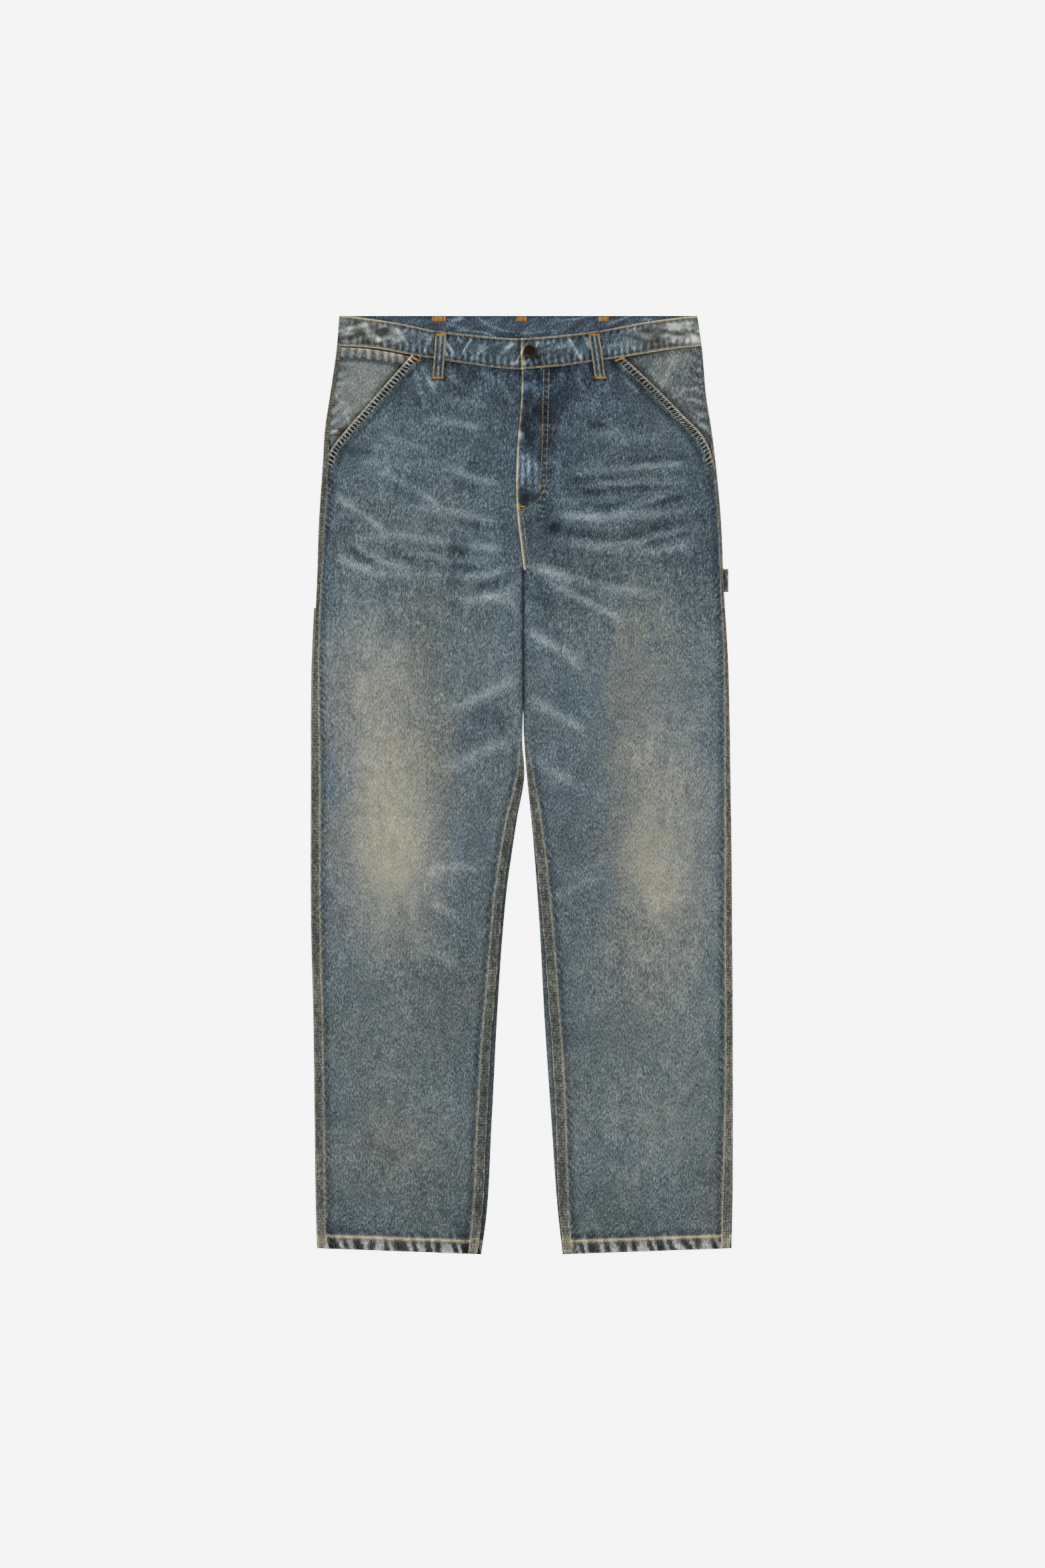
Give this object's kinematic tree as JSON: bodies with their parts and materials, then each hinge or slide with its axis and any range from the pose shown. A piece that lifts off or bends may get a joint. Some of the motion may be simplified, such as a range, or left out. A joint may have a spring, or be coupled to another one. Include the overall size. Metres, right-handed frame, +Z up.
{
  "type": "carpenter pants",
  "caption": "Straight washed-denim carpenter pants laid flat with the front up: slanted pockets, coin pocket, tool pocket, hammer loop, felled seams and a metal waist button.",
  "frame": {"origin": "centre of the laid garment's outline, on the surface that it lies on", "axes": "+Y runs from the hems to the waist, +X towards the wearer's left leg (the picture's right), +Z up out of the front"},
  "size_m": [0.4882, 1.0834, 0.018],
  "materials": {
    "washed_denim": "matte washed cotton twill",
    "felled_seam": "matte, ridged with rows of stitches",
    "burnished_metal": "dark, worn at the rim"
  },
  "bodies": {
    "root": {"front_right": "washed_denim", "front_left": "washed_denim", "back_right": "washed_denim", "back_left": "washed_denim", "pocket_facing_right": "washed_denim", "pocket_facing_left": "washed_denim", "coin_pocket": "washed_denim", "waistband": "washed_denim", "outseam_right": "felled_seam", "outseam_left": "felled_seam", "inseam_right": "felled_seam", "inseam_left": "felled_seam", "belt_loop_front_right": "washed_denim", "belt_loop_front_left": "washed_denim", "belt_loop_back_right": "washed_denim", "belt_loop_back_centre": "washed_denim", "belt_loop_back_left": "washed_denim", "back_pocket_right": "washed_denim", "back_pocket_left": "washed_denim", "tool_pocket": "washed_denim", "hammer_loop": "washed_denim", "button": "burnished_metal"}
  },
  "joints": []
}
